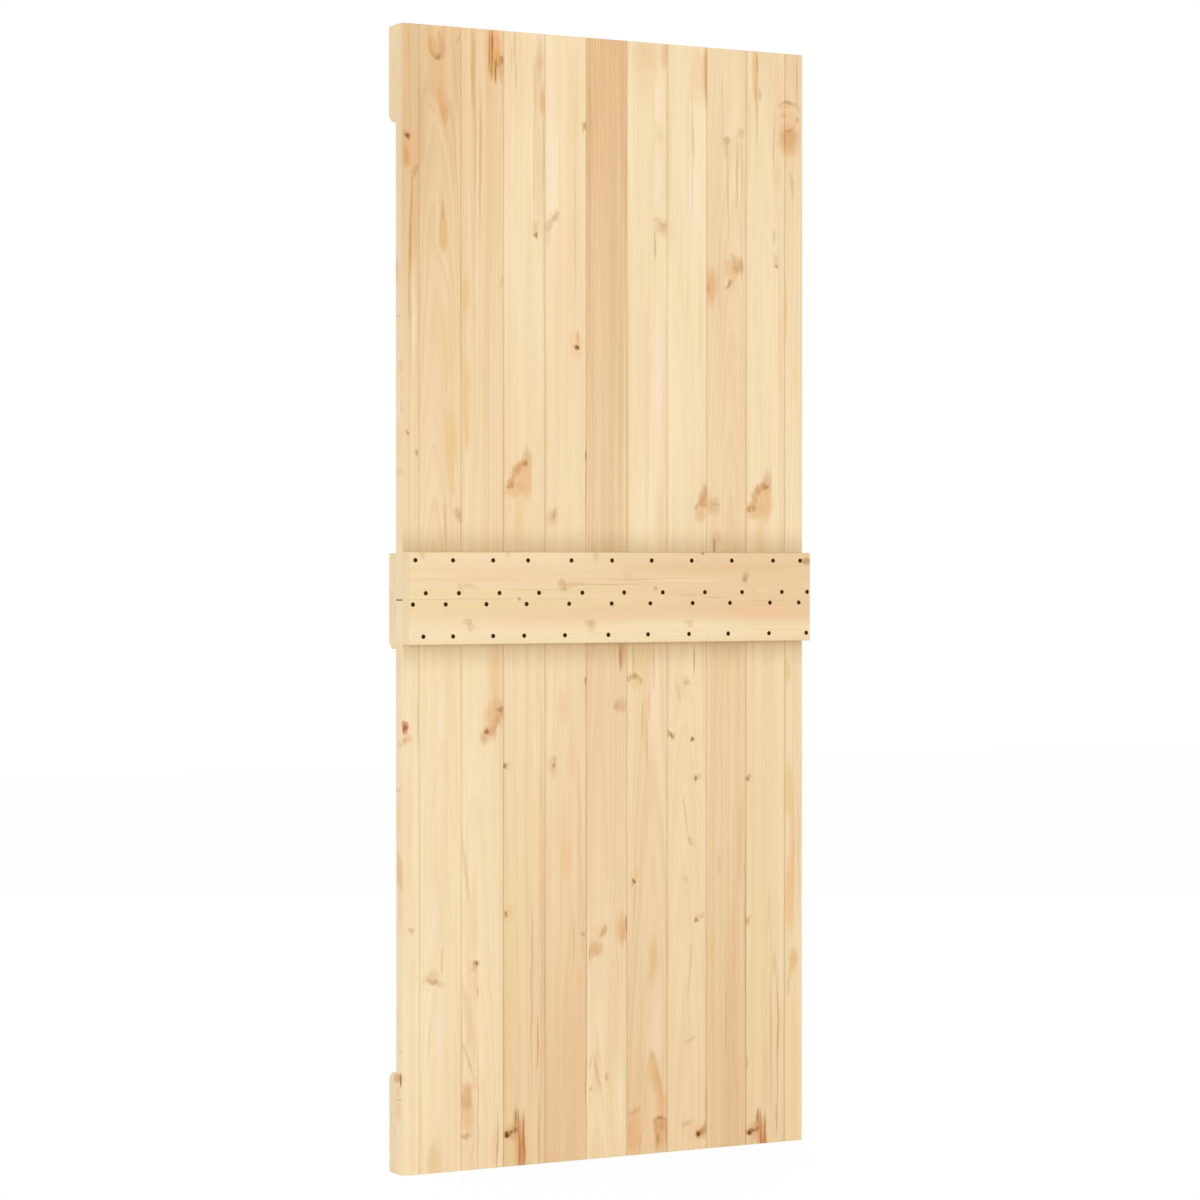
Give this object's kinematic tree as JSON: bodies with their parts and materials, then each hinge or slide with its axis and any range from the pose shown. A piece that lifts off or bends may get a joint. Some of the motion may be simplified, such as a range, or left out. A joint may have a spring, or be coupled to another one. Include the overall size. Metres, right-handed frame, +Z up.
{
  "type": "ledged sliding door leaf",
  "caption": "Pine sliding door leaf of tongue-and-groove boards in two half-height courses, held by rails across the front and a screwed rail across the back.",
  "frame": {"origin": "middle of the top rail's front face, at half the rail's height, where the hangers of a sliding track bolt on", "axes": "+Z up along the boards, +Y out of the front face, +X along the width, to the right as seen from the back"},
  "size_m": [0.86, 0.084, 2.1],
  "materials": {
    "board_pine": "planed and unfinished, satin",
    "rail_pine": "planed and unfinished, satin",
    "screw_steel": "dark brown phosphate coat"
  },
  "bodies": {
    "root": {"back_middle_rail": "rail_pine", "front_bottom_rail": "rail_pine", "front_middle_rail": "rail_pine", "front_top_rail": "rail_pine", "lower_plank_01": "board_pine", "lower_plank_02": "board_pine", "lower_plank_03": "board_pine", "lower_plank_04": "board_pine", "lower_plank_05": "board_pine", "lower_plank_06": "board_pine", "lower_plank_07": "board_pine", "lower_plank_08": "board_pine", "lower_plank_09": "board_pine", "lower_plank_10": "board_pine", "lower_plank_11": "board_pine", "upper_plank_01": "board_pine", "upper_plank_02": "board_pine", "upper_plank_03": "board_pine", "upper_plank_04": "board_pine", "upper_plank_05": "board_pine", "upper_plank_06": "board_pine", "upper_plank_07": "board_pine", "upper_plank_08": "board_pine", "upper_plank_09": "board_pine", "upper_plank_10": "board_pine", "upper_plank_11": "board_pine"}
  },
  "joints": []
}
